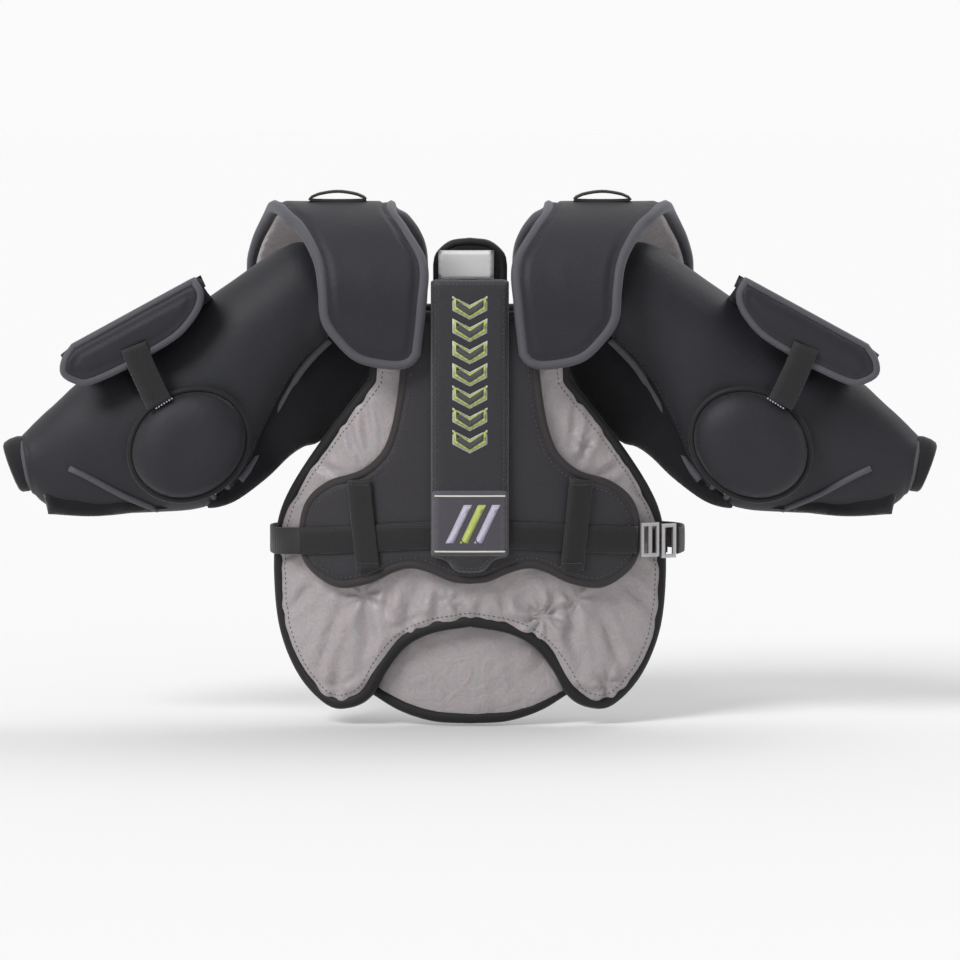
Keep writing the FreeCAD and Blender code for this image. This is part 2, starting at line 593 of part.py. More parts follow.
def past_wrist(distance):
    tilt = math.radians(WRIST_TILT)
    return (WRIST_CENTRE[0] + distance * math.cos(tilt), WRIST_CENTRE[1] - distance * math.sin(tilt))


def wrist_stations(ends):
    return [(past_wrist(distance), WRIST_TILT, "Sizes.wrist_high", "Sizes.wrist_deep") for distance in ends]


both_sides(tube("cuff", wrist_stations(CUFF_ENDS), "0", "Sizes.cuff_wall"), "wrist_cuff")
behind = new("Part::Box", "behind_wrist", Length=EVERYTHING, Width=EVERYTHING, Height=2 * EVERYTHING,
             Placement=at(0, size("arm_back_y"), -EVERYTHING))
wrist_band = tube("wrist_band", wrist_stations(WRIST_BAND_ENDS), "-0.6 - Sizes.webbing_thick",
                  "Sizes.webbing_thick")
both_sides(common("wrist_loop", wrist_band, behind), "wrist_strap")

# ---------------------------------------------------------------- check and write
doc.recompute()
for thing in doc.Objects:
    if "Invalid" in thing.State or "Error" in thing.State:
        raise RuntimeError(f"{thing.Name} failed: {thing.State}")
for piece in nodes:
    if piece.Shape.isNull() or not piece.Shape.isValid() or piece.Shape.Volume <= 0:
        raise RuntimeError(f"{piece.Label} has no valid shape")
os.makedirs("parts", exist_ok=True)
for piece in nodes:
    piece.Shape.exportStep(f"parts/{piece.Label}.step")
print(len(nodes), "pieces")
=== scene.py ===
"""Looks of a hockey goalie chest-and-arm protector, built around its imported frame.

Plans are drawn in millimetres (u, v) and laid on curved surfaces; everything built is in metres.
The wearer's left is at +X: each left piece is made once and mirrored for the right.
"""
import json
import math

import bmesh
import bpy
import numpy as np
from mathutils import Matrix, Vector, geometry, noise


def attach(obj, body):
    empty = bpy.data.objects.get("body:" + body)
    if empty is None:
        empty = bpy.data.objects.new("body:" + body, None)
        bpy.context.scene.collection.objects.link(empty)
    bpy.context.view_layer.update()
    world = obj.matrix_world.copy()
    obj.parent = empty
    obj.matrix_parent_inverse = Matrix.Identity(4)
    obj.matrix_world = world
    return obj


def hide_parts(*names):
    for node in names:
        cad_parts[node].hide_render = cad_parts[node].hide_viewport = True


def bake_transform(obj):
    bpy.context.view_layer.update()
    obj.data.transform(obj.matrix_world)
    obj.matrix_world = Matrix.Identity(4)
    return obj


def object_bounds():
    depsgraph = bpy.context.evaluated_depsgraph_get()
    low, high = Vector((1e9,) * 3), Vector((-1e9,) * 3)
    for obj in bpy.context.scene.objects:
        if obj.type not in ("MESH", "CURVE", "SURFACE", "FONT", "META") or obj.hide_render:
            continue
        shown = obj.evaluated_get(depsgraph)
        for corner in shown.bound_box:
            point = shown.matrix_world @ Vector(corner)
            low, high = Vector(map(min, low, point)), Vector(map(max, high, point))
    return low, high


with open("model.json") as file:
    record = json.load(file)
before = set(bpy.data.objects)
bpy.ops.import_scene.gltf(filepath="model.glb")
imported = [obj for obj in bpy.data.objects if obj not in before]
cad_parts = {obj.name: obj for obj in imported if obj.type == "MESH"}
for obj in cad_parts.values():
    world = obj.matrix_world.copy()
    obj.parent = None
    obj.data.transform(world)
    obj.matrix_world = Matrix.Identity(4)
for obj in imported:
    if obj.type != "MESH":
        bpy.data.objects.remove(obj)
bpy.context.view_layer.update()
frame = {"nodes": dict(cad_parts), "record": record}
MM = 0.001

# ---------------------------------------------------------------- sizes shared with the frame, millimetres
TORSO_AXIS_Y = 340.0
BELLY_R = 391.0
PLATE_R = 409.0
STRIP_R = 421.8
LOWER_R = 375.0
BELT_R = 417.5
CAP_AXIS_Y = 15.0
CAP_AXIS_Z = -62.0
CAP_R = 98.0
ARM_TILT = math.radians(33.5)
FOREARM_TILT = math.radians(20.5)
SPACING = 4.0


# ---------------------------------------------------------------- plane outlines
def smooth(points, closed=False, step=SPACING):
    """A Catmull-Rom curve through the points, sampled about every step."""
    pts = [np.array(p, float) for p in points]
    count = len(pts)
    out = []
    for i in range(count if closed else count - 1):
        p1, p2 = pts[i], pts[(i + 1) % count]
        p0 = pts[i - 1] if closed or i > 0 else 2 * p1 - p2
        p3 = pts[(i + 2) % count] if closed or i + 2 < count else 2 * p2 - p1
        parts = max(1, round(float(np.linalg.norm(p2 - p1)) / step))
        for k in range(parts):
            f = k / parts
            out.append(0.5 * (2 * p1 + (p2 - p0) * f + (2 * p0 - 5 * p1 + 4 * p2 - p3) * f ** 2
                              + (3 * p1 - p0 - 3 * p2 + p3) * f ** 3))
    if not closed:
        out.append(pts[-1])
    return [tuple(p) for p in out]


def ring_of(spans, step=SPACING):
    """A closed outline from spans that follow each other."""
    out = []
    for span in spans:
        out += smooth(span, step=step)[:-1]
    return out


def mirrored(half):
    """Both halves of a symmetric outline, from the spans of its +X half."""
    return half + [[(-x, z) for x, z in reversed(span)] for span in reversed(half)]


def inset(ring, amount):
    """The outline moved inwards along its own normals."""
    pts = np.array(ring)
    ahead = np.roll(pts, -1, axis=0) - np.roll(pts, 1, axis=0)
    ahead /= np.linalg.norm(ahead, axis=1)[:, None] + 1e-12
    area = float(np.sum(pts[:, 0] * np.roll(pts[:, 1], -1) - np.roll(pts[:, 0], -1) * pts[:, 1]))
    side = 1.0 if area > 0 else -1.0
    return [tuple(p) for p in pts + amount * side * np.stack([-ahead[:, 1], ahead[:, 0]], axis=1)]


def rounded_box(u0, u1, v0, v1, radius, step=SPACING):
    """A rectangle with round corners."""
    out = []
    for cu, cv, turn in ((u1 - radius, v0 + radius, -90), (u1 - radius, v1 - radius, 0),
                         (u0 + radius, v1 - radius, 90), (u0 + radius, v0 + radius, 180)):
        for k in range(6):
            a = math.radians(turn + k * 18)
            out.append((cu + radius * math.cos(a), cv + radius * math.sin(a)))
    dense = []
    for i, p in enumerate(out):
        q = out[(i + 1) % len(out)]
        parts = max(1, round(math.dist(p, q) / step))
        dense += [(p[0] + (q[0] - p[0]) * k / parts, p[1] + (q[1] - p[1]) * k / parts) for k in range(parts)]
    return dense


def edge_distance(points, ring):
    """How far each point is from the outline."""
    a = np.array(ring)
    b = np.roll(a, -1, axis=0)
    ab = b - a
    length = np.sum(ab ** 2, axis=1) + 1e-12
    out = np.empty(len(points))
    for i, p in enumerate(points):
        f = np.clip(np.sum((p - a) * ab, axis=1) / length, 0, 1)
        out[i] = np.sqrt(np.min(np.sum((a + ab * f[:, None] - p) ** 2, axis=1)))
    return out


def inside(points, ring):
    """Which points lie within the outline."""
    a = np.array(ring)
    b = np.roll(a, -1, axis=0)
    hits = np.zeros(len(points), bool)
    for (x0, z0), (x1, z1) in zip(a, b):
        if z0 == z1:
            continue
        crosses = (points[:, 1] < z0) != (points[:, 1] < z1)
        x = x0 + (points[:, 1] - z0) * (x1 - x0) / (z1 - z0)
        hits ^= crosses & (points[:, 0] < x)
    return hits


# ---------------------------------------------------------------- surfaces that plans are laid on
def torso(radius):
    """The upright curve of the torso: u across, v up."""
    def place(u, v):
        y = TORSO_AXIS_Y - math.sqrt(radius ** 2 - u ** 2)
        return Vector((u, y, v)), Vector((u, y - TORSO_AXIS_Y, 0)).normalized()
    return place


def arch(radius, nominal, axis_y, axis_z):
    """A shoulder arch: u across, v the way over the top from the front (-) to the back (+)."""
    quarter = nominal * math.pi / 2

    def place(u, v):
        if abs(v) <= quarter:
            a = v / nominal
            out = Vector((0, math.sin(a), math.cos(a)))
            return Vector((u, axis_y, axis_z)) + out * radius, out
        side = math.copysign(1.0, v)
        return Vector((u, axis_y + side * radius, axis_z - (abs(v) - quarter))), Vector((0, side, 0))
    return place


def cap_arch(radius):
    return arch(radius, CAP_R, CAP_AXIS_Y, CAP_AXIS_Z)


def along(curve, f):
    """The point at a fraction of a dense curve."""
    where = min(max(f, 0.0), 1.0) * (len(curve) - 1)
    i = min(int(where), len(curve) - 2)
    k = where - i
    (u0, v0), (u1, v1) = curve[i], curve[i + 1]
    return (u0 + (u1 - u0) * k, v0 + (v1 - v0) * k)


def sleeve(top, bottom, deep, axis_y, long, shrink=0.0):
    """A half tube between two front-view curves: u along it, v in degrees from the front, + to the top."""
    top = smooth(top)
    bottom = smooth(bottom)

    def point(u, v):
        f = u / long
        (x1, z1), (x0, z0) = along(top, f), along(bottom, f)
        depth = deep[0] + (deep[1] - deep[0]) * f - shrink
        a = math.radians(v)
        half_x, half_z = (x1 - x0) / 2, (z1 - z0) / 2
        size = math.hypot(half_x, half_z)
        k = (size - shrink) / size * math.sin(a)
        return Vector(((x1 + x0) / 2 + half_x * k, axis_y - depth * math.cos(a), (z1 + z0) / 2 + half_z * k))

    def place(u, v):
        here = point(u, v)
        du = point(min(u + 1, long), v) - point(max(u - 1, 0), v)
        dv = point(u, v + 1) - point(u, v - 1)
        out = du.cross(dv).normalized()
        centre = point(u, 0) + Vector((0, deep[0], 0))
        if out.dot(here - centre) < 0:
            out = -out
        return here, out
    return place


def plane_at(y, lean=None):
    """A flat front-view plane, with an optional depth added by a function of (u, v)."""
    def place(u, v):
        return Vector((u, y + (lean(u, v) if lean else 0.0), v)), Vector((0, -1, 0))
    return place


# ---------------------------------------------------------------- mesh builders
def as_object(name, verts, faces):
    """A mesh object in metres from millimetre points, shaded smooth."""
    mesh = bpy.data.meshes.new(name)
    mesh.from_pydata([tuple(c * MM for c in v) for v in verts], [], faces)
    mesh.validate()
    work = bmesh.new()
    work.from_mesh(mesh)
    bmesh.ops.recalc_face_normals(work, faces=work.faces)
    work.to_mesh(mesh)
    work.free()
    mesh.shade_smooth()
    obj = bpy.data.objects.new(name, mesh)
    bpy.context.scene.collection.objects.link(obj)
    return obj


def crown(distance, width):
    """Rises from nothing at the edge to one at the crown's width, round like a filled pad."""
    f = np.clip(distance / width, 0, 1)
    return np.sqrt(1 - (1 - f) ** 2)


def pad(name, ring, place, front, back, width, relief=None, spacing=SPACING):
    """A crowned closed pad laid on a surface; relief(u, v, distance) adds height to its front."""
    ring = [tuple(p) for p in ring]
    low, high = np.min(ring, axis=0), np.max(ring, axis=0)
    rows = np.arange(low[1], high[1], spacing * 0.866)
    grid = np.array([(u, v) for i, v in enumerate(rows)
                     for u in np.arange(low[0] + (i % 2) * spacing / 2, high[0], spacing)])
    grid = grid[inside(grid, ring)]
    away = edge_distance(grid, ring)
    grid, away = grid[away > spacing * 0.55], away[away > spacing * 0.55]
    plan = [Vector(p) for p in ring] + [Vector(p) for p in grid]
    count = len(ring)
    edges = [(i, (i + 1) % count) for i in range(count)]
    points, _, faces, source, _, _ = geometry.delaunay_2d_cdt(plan, edges, [], 1, 1e-5)
    away_of = np.zeros(len(points))
    on_edge = [True] * len(points)
    for i, origin in enumerate(source):
        if origin and min(origin) >= count:
            away_of[i] = away[min(origin) - count]
            on_edge[i] = False
    rise = crown(away_of, width)
    verts = []
    for i, p in enumerate(points):
        here, out = place(p.x, p.y)
        extra = relief(p.x, p.y, away_of[i]) if relief and not on_edge[i] else 0.0
        verts.append(here + out * (front * rise[i] + extra * min(1.0, rise[i] * 1.5)))
    under = {}
    for i, p in enumerate(points):
        if on_edge[i]:
            under[i] = i
            continue
        here, out = place(p.x, p.y)
        under[i] = len(verts)
        verts.append(here - out * back * rise[i])
    faces = [tuple(f) for f in faces]
    faces += [tuple(under[i] for i in reversed(f)) for f in faces]
    return as_object(name, verts, faces)


def tube(name, path, radius, closed=True, flat=1.0, sides=8, out=None):
    """Piping: a round or flattened cord of fabric swept along 3-D points."""
    pts = [Vector(p) for p in path]
    count = len(pts)
    verts = []
    for i, p in enumerate(pts):
        ahead = pts[(i + 1) % count] if closed or i + 1 < count else p
        behind = pts[i - 1] if closed or i > 0 else p
        run = (ahead - behind).normalized()
        up = out[i] if out else Vector((0, -1, 0))
        side = run.cross(up)
        side = side.normalized() if side.length > 1e-6 else Vector((1, 0, 0))
        up = side.cross(run).normalized()
        for k in range(sides):
            a = 2 * math.pi * k / sides
            verts.append(p + side * radius * math.cos(a) + up * radius * flat * math.sin(a))
    faces = []
    for i in range(count if closed else count - 1):
        j = (i + 1) % count
        for k in range(sides):
            m = (k + 1) % sides
            faces.append((i * sides + k, i * sides + m, j * sides + m, j * sides + k))
    if not closed:
        faces.append(tuple(range(sides)))
        faces.append(tuple(reversed(range((count - 1) * sides, count * sides))))
    return as_object(name, verts, faces)


def piping(name, ring, place, radius, lift=0.0, flat=1.0):
    """Piping along an outline laid on a surface."""
    laid = [place(*p) for p in ring]
    return tube(name, [p + n * lift for p, n in laid], radius, flat=flat, out=[n for _, n in laid])


def stitches(name, line, place, lift, closed=True, gap=5.0, long=3.2, wide=0.55):
    """A row of thread stitches along a line laid on a surface."""
    pts = list(line) + ([line[0]] if closed else [])
    laid = [place(*p) for p in pts]
    verts, faces = [], []
    carried = 0.0
    for (p, n), (q, _) in zip(laid, laid[1:]):
        run = q - p
        size = run.length
        if size < 1e-6:
            continue
        run /= size
        side = run.cross(n).normalized()
        while carried < size:
            mid = p + run * carried + n * lift
            base = len(verts)
            verts += [mid - run * long / 2, mid + side * wide, mid + run * long / 2, mid - side * wide,
                      mid + n * wide, mid - n * wide]
            faces += [(base, base + 1, base + 4), (base + 1, base + 2, base + 4),
                      (base + 2, base + 3, base + 4),
                      (base + 3, base, base + 4), (base + 1, base, base + 5), (base + 2, base + 1, base + 5),
                      (base + 3, base + 2, base + 5), (base, base + 3, base + 5)]
            carried += gap
        carried -= size
    return as_object(name, verts, faces)


def strap(name, path, outs, wide, thick=2.2):
    """Webbing: a flat band with soft edges along 3-D points, facing the given directions."""
    pts = [Vector(p) for p in path]
    profile = [(-0.5, 0.0), (-0.47, 0.5), (-0.2, 0.62), (0.2, 0.62), (0.47, 0.5), (0.5, 0.0), (0.47, -0.5),
               (-0.47, -0.5)]
    verts, faces = [], []
    for i, p in enumerate(pts):
        run = (pts[min(i + 1, len(pts) - 1)] - pts[max(i - 1, 0)]).normalized()
        out = (outs[i] if isinstance(outs, list) else outs).normalized()
        side = run.cross(out).normalized()
        out = side.cross(run).normalized()
        verts += [p + side * a * wide + out * b * thick for a, b in profile]
    sides = len(profile)
    for i in range(len(pts) - 1):
        for k in range(sides):
            m = (k + 1) % sides
            faces.append((i * sides + k, i * sides + m, (i + 1) * sides + m, (i + 1) * sides + k))
    faces.append(tuple(range(sides)))
    faces.append(tuple(reversed(range((len(pts) - 1) * sides, len(pts) * sides))))
    return as_object(name, verts, faces)


def laid_strap(name, line, place, wide, lift=0.0):
    """Webbing along a plan line on a surface."""
    laid = [place(*p) for p in smooth(line)]
    return strap(name, [p + n * lift for p, n in laid], [n for _, n in laid], wide)


def mirror_of(obj, name):
    """The same piece on the wearer's right."""
    mesh = obj.data.copy()
    mesh.name = name
    for vert in mesh.vertices:
        vert.co.x = -vert.co.x
    mesh.flip_normals()
    twin = bpy.data.objects.new(name, mesh)
    bpy.context.scene.collection.objects.link(twin)
    return twin


# ---------------------------------------------------------------- materials
def add(tree, kind, **values):
    node = tree.nodes.new(kind)
    for key, value in values.items():
        if key.startswith("in_"):
            node.inputs[key[3:].replace("_", " ")].default_value = value
        else:
            setattr(node, key, value)
    return node


def shade(color, factor):
    return tuple(min(1.0, c * factor) for c in color) + (1.0,)


def fabric(name, color, rough=0.6, weave=1.1, depth=0.25, blotch=0.18, sheen=0.2, wear=0.35, knit=False,
           metal=0.0, crease=0.0):
    """Woven, knitted or coated cloth: threads, uneven dye, dust and paler worn edges."""
    mat = bpy.data.materials.new(name)
    mat.use_nodes = True
    tree = mat.node_tree
    link = tree.links.new
    bsdf = tree.nodes["Principled BSDF"]
    bsdf.inputs["Sheen Weight"].default_value = sheen
    bsdf.inputs["Sheen Roughness"].default_value = 0.4
    bsdf.inputs["Specular IOR Level"].default_value = 0.35
    bsdf.inputs["Metallic"].default_value = metal
    where = add(tree, "ShaderNodeTexCoord")
    cloud = add(tree, "ShaderNodeTexNoise", in_Scale=14.0, in_Detail=5.0, in_Roughness=0.6)
    grain = add(tree, "ShaderNodeTexNoise", in_Scale=420.0, in_Detail=3.0)
    link(where.outputs["Object"], cloud.inputs["Vector"])
    link(where.outputs["Object"], grain.inputs["Vector"])
    tone = add(tree, "ShaderNodeMix", data_type="RGBA")
    tone.inputs["A"].default_value = shade(color, 1 - blotch)
    tone.inputs["B"].default_value = shade(color, 1 + blotch)
    link(cloud.outputs["Fac"], tone.inputs["Factor"])
    fleck = add(tree, "ShaderNodeMix", data_type="RGBA", blend_type="OVERLAY")
    fleck.inputs["Factor"].default_value = 0.25
    link(tone.outputs["Result"], fleck.inputs["A"])
    link(grain.outputs["Color"], fleck.inputs["B"])
    edge = add(tree, "ShaderNodeNewGeometry")
    ramp = add(tree, "ShaderNodeMapRange")
    ramp.inputs["From Min"].default_value = 0.52
    ramp.inputs["From Max"].default_value = 0.62
    ramp.inputs["To Max"].default_value = wear
    link(edge.outputs["Pointiness"], ramp.inputs["Value"])
    worn = add(tree, "ShaderNodeMix", data_type="RGBA")
    worn.inputs["B"].default_value = shade([c + 0.03 for c in color], 1.6)
    link(ramp.outputs["Result"], worn.inputs["Factor"])
    link(fleck.outputs["Result"], worn.inputs["A"])
    link(worn.outputs["Result"], bsdf.inputs["Base Color"])
    if knit:
        cells = add(tree, "ShaderNodeTexVoronoi", in_Scale=1000.0 / weave)
        link(where.outputs["Object"], cells.inputs["Vector"])
        height = cells.outputs["Distance"]
    else:
        threads = []
        for direction in ("X", "Z"):
            wave = add(tree, "ShaderNodeTexWave", bands_direction=direction, in_Scale=314.0 / weave,
                       in_Distortion=0.6, in_Detail=1.0)
            link(where.outputs["Object"], wave.inputs["Vector"])
            threads.append(wave.outputs["Fac"])
        cross = add(tree, "ShaderNodeMath", operation="MULTIPLY")
        link(threads[0], cross.inputs[0])
        link(threads[1], cross.inputs[1])
        height = cross.outputs["Value"]
    bump = add(tree, "ShaderNodeBump", in_Strength=depth, in_Distance=0.0004)
    link(height, bump.inputs["Height"])
    last = bump
    if crease:
        folds = add(tree, "ShaderNodeTexNoise", in_Scale=38.0, in_Detail=4.0, in_Roughness=0.55,
                    in_Distortion=1.2)
        link(where.outputs["Object"], folds.inputs["Vector"])
        last = add(tree, "ShaderNodeBump", in_Strength=crease, in_Distance=0.004)
        link(folds.outputs["Fac"], last.inputs["Height"])
        link(bump.outputs["Normal"], last.inputs["Normal"])
    link(last.outputs["Normal"], bsdf.inputs["Normal"])
    dull = add(tree, "ShaderNodeMapRange")
    dull.inputs["To Min"].default_value = max(0.0, rough - 0.1)
    dull.inputs["To Max"].default_value = min(1.0, rough + 0.12)
    link(cloud.outputs["Fac"], dull.inputs["Value"])
    link(dull.outputs["Result"], bsdf.inputs["Roughness"])
    return mat


def metal(name, color):
    """Satin cast metal with fine scratches."""
    return fabric(name, color, rough=0.38, weave=0.7, depth=0.05, blotch=0.1, sheen=0.0, wear=0.5, metal=0.75)


PAINTS = {
    "silver_nylon": fabric("silver_nylon", (0.385, 0.352, 0.36), rough=0.36, weave=0.6, depth=0.08,
                           blotch=0.07, sheen=0.05, wear=0.3, crease=0.7),
    "black_fabric": fabric("black_fabric", (0.019, 0.019, 0.0245), rough=0.55, weave=0.8, depth=0.2,
                           blotch=0.25, sheen=0.05, wear=0.1, crease=0.15),
    "black_mesh": fabric("black_mesh", (0.006, 0.006, 0.008), rough=0.85, weave=2.4, depth=0.7, knit=True),
    "cuff_fabric": fabric("cuff_fabric", (0.01, 0.01, 0.012), rough=0.85, weave=1.8, depth=0.6, knit=True),
    "piping": fabric("piping", (0.07, 0.07, 0.082), rough=0.6, weave=1.0, depth=0.35, sheen=0.1),
    "body_binding": fabric("body_binding", (0.004, 0.0035, 0.005), rough=0.6, weave=1.3, depth=0.4,
                           sheen=0.1),
    "plate_binding": fabric("plate_binding", (0.027, 0.022, 0.023), rough=0.7, weave=1.2, depth=0.4),
    "charcoal_fabric": fabric("charcoal_fabric", (0.03, 0.028, 0.033), rough=0.62, weave=1.0, depth=0.35,
                              blotch=0.15, crease=0.15),
    "webbing": fabric("webbing", (0.014, 0.013, 0.014), rough=0.65, weave=2.2, depth=0.8),
    "embroidery": fabric("embroidery", (0.45, 0.53, 0.13), rough=0.6, weave=0.6, depth=0.6),
    "thread_white": fabric("thread_white", (0.72, 0.72, 0.66), rough=0.6, weave=0.6, depth=0.6),
    "thread_lilac": fabric("thread_lilac", (0.5, 0.47, 0.58), rough=0.6, weave=0.6, depth=0.6),
    "thread_dark": fabric("thread_dark", (0.05, 0.05, 0.055), rough=0.7, weave=0.6, depth=0.3),
    "patch_fabric": fabric("patch_fabric", (0.075, 0.07, 0.085), rough=0.7, weave=1.0, depth=0.5),
    "label_cloth": fabric("label_cloth", (0.92, 0.92, 0.92), rough=0.45, weave=0.6, depth=0.15, blotch=0.03),
    "buckle_metal": metal("buckle_metal", (0.42, 0.41, 0.42)),
    "foam": fabric("foam", (0.6, 0.6, 0.58), rough=0.9, weave=1.5, depth=0.6, knit=True),
    "plastic_insert": fabric("plastic_insert", (0.03, 0.03, 0.03), rough=0.4, weave=0.5, depth=0.05,
                             sheen=0.0),
}
for node_name, node in frame["nodes"].items():
    slot_name = next(s["material_slot"] for s in frame["record"]["subparts"] if s["node"] == node_name)
    node.data.materials.clear()
    node.data.materials.append(PAINTS[slot_name])


def dress(obj, body, paint, stands_for=()):
    """Paints a piece, rides it on a body and hides the CAD nodes it stands for."""
    obj.data.materials.clear()
    obj.data.materials.append(PAINTS[paint])
    if body:
        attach(obj, body)
    if stands_for:
        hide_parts(*stands_for)
    return obj


def dress_pair(obj, body, paint, stands_for=()):
    """A left piece and its mirror image; names of bodies and nodes end in the side."""
    base = obj.name
    twin = mirror_of(obj, base + "_right")
    obj.name = base + "_left"
    for piece, side in ((obj, "left"), (twin, "right")):
        dress(piece, body and f"{body}_{side}", paint, [f"{n}_{side}" for n in stands_for])
    return obj, twin


# ---------------------------------------------------------------- torso: pads, bindings, strip
BELLY = mirrored([[(0, -376), (38, -383), (64, -397), (83, -421), (98, -447), (118, -459), (142, -458),
                   (170, -430), (189, -385), (195, -330), (192, -280), (178, -241), (145, -190), (99, -130)],
                  [(99, -130), (92, -70), (60, -58), (0, -56)]])
CRESCENT = mirrored([[(0, -475), (37, -473), (70, -463), (98, -447)],
                     [(98, -447), (112, -400), (90, -345), (0, -330)]])
PLATE = mirrored([[(0, -62), (58, -62)],
                  [(58, -62), (66, -100), (69, -125), (72, -150), (78, -180), (88, -203), (109, -221),
                   (140, -232), (161, -250), (169, -275), (168, -305), (155, -325), (130, -338), (100, -333),
                   (75, -321), (58, -317), (40, -321), (18, -330), (0, -332)]])
STRIP = mirrored([[(0, -30), (34, -30), (38.5, -34)], [(38.5, -34), (38.5, -304)],
                  [(38.5, -304), (24, -308), (14, -318), (0, -320)]])
# creases of the silver nylon: from, to, half width, depth
CREASES = [((30, -338), (34, -372), 4, 1.6), ((52, -330), (70, -392), 5, 2.0),
           ((95, -342), (104, -420), 6, 2.4), ((120, -345), (150, -425), 5, 1.8),
           ((150, -332), (182, -372), 5, 1.8), ((76, -330), (86, -372), 4, 1.5),
           ((12, -340), (8, -372), 4, 1.4), ((168, -300), (190, -318), 4, 1.5),
           ((104, -150), (98, -200), 4, 1.8), ((120, -175), (106, -215), 4, 1.6),
           ((150, -215), (128, -226), 4, 1.4), ((160, -238), (180, -258), 4, 1.4),
           ((92, -432), (118, -452), 5, 1.6), ((135, -456), (128, -420), 5, 1.6),
           ((-46, -334), (-58, -380), 5, 1.8)]
# points where the cover is tacked to the foam: place, reach, number of folds round it, depth
PUCKERS = [(-104, -346, 26, 7, 2.6), (71, -366, 28, 8, 3.0), (104, -352, 22, 6, 2.2), (-62, -372, 20, 6, 1.8),
           (-20, -350, 20, 5, 1.6), (-128, -438, 22, 5, 1.6), (134, -436, 24, 6, 2.0),
           (112, -196, 16, 5, 1.6)]


def crease_relief(u, v, distance):
    """Soft folds of nylon that run from the seams and the tacks, and a gentle uneven fill."""
    total = 2.6 * noise.noise(Vector((u / 46, v / 46, 0.3)))
    total += 1.0 * noise.noise(Vector((u / 15, v / 19, 2.0)))
    for (x0, z0), (x1, z1), wide, deep in CREASES:
        for x_a, x_b in ((x0, x1), (-x0, -x1)):
            dx, dz = x_b - x_a, z1 - z0
            size = math.hypot(dx, dz)
            bend = 3.0 * noise.noise(Vector((u / 20, v / 20, x_a)))
            f = ((u - x_a) * dx + (v - z0) * dz) / size ** 2
            if -0.2 < f < 1.2:
                across = abs((u - x_a) * dz - (v - z0) * dx + bend * size) / size
                fade = max(0.0, 1 - abs(f - 0.5) / 0.7)
                total -= 1.9 * deep * fade * math.exp(-(across / wide) ** 2)
                total += 1.1 * deep * fade * math.exp(-((across - 2 * wide) / wide) ** 2)
    for x, z, reach, folds, deep in PUCKERS:
        r = math.hypot(u - x, v - z)
        if r < 3 * reach:
            turn = math.atan2(v - z, u - x) * folds + 0.05 * r
            total -= 1.5 * deep * math.exp(-(r / (0.35 * reach)) ** 2)
            total += 1.2 * deep * math.cos(turn) * math.exp(-r / reach) * min(1.0, r / (0.3 * reach))
    return total


def quiet_relief(u, v, distance):
    return 0.9 * noise.noise(Vector((u / 38, v / 38, 5.0)))


belly_ring = ring_of(BELLY)
BELLY_FILL = 9
BELLY_CROWN = 26
BELLY_SEAM = 13.5


def belly_face(u, v):
    """The face of the belly cover under the row of stitches beside its binding."""
    here, out = torso(BELLY_R)(u, v)
    rise = BELLY_FILL * float(crown(BELLY_SEAM - 3, BELLY_CROWN))
    return here + out * (rise + crease_relief(u, v, BELLY_SEAM)), out


belly = pad("belly_cover", inset(belly_ring, 3), torso(BELLY_R), BELLY_FILL, BELLY_FILL, BELLY_CROWN,
            crease_relief, spacing=2.8)
dress(belly, "torso", "silver_nylon", stands_for=["belly_pad", "belly_pad_foam"])
dress(piping("belly_edge_tape", inset(belly_ring, 5.4), torso(BELLY_R), 6.4, flat=1.15), "torso",
      "body_binding", stands_for=["belly_pad_binding"])
dress(stitches("belly_edge_stitches", inset(belly_ring, BELLY_SEAM), belly_face, 0.3), "torso", "thread_dark")
crescent_ring = ring_of(CRESCENT)
crescent = pad("lower_panel_cover", inset(crescent_ring, 3), torso(LOWER_R), 5.5, 5.5, 20, crease_relief)
dress(crescent, "lower_flap", "silver_nylon", stands_for=["lower_panel"])
dress(piping("lower_panel_tape", inset(crescent_ring, 5.2), torso(LOWER_R), 6.0, flat=1.0), "lower_flap",
      "body_binding", stands_for=["lower_panel_binding"])
plate_ring = ring_of(PLATE)
plate = pad("chest_plate_cover", inset(plate_ring, 3), torso(PLATE_R), 6.5, 5, 14, quiet_relief)
dress(plate, "torso", "charcoal_fabric", stands_for=["chest_plate", "chest_plate_foam"])
dress(piping("chest_plate_tape", inset(plate_ring, 4.5), torso(PLATE_R), 5.0, flat=1.25), "torso",
      "plate_binding", stands_for=["chest_plate_binding"])
dress(stitches("chest_plate_stitches", inset(plate_ring, 11), torso(PLATE_R + 6), 0.4), "torso",
      "thread_dark")
strip_ring = ring_of(STRIP)
strip = pad("sternum_cover", strip_ring, torso(STRIP_R), 5.2, 4.5, 12)
dress(strip, "sternum", "charcoal_fabric", stands_for=["sternum_strip", "sternum_strip_foam"])
dress(stitches("sternum_stitches", inset(strip_ring, 5), torso(STRIP_R + 4.6), 0.3, gap=4.5), "sternum",
      "thread_dark")

# ---------------------------------------------------------------- sternum graphic and patch
CHEVRON_COUNT = 7
CHEVRON_PITCH = 22.0
CHEVRON_RISE = 9


def flat_shape(name, ring, radius, lift, thick=0.7):
    """A thin applied shape that follows the strip's curve."""
    return pad(name, ring, torso(radius + lift), thick, 0.2, 1.2, spacing=3.0)


def chevron(half, base, thick, raise_by):
    """A generic arrow-like bar that points down."""
    z = base + raise_by
    arms = z + CHEVRON_RISE
    low = [(-half, arms), (0, z), (half, arms)]
    corners = low + [(x, v + thick) for x, v in reversed(low)]
    return ring_of([[corners[i], corners[(i + 1) % 6]] for i in range(6)], step=3.0)


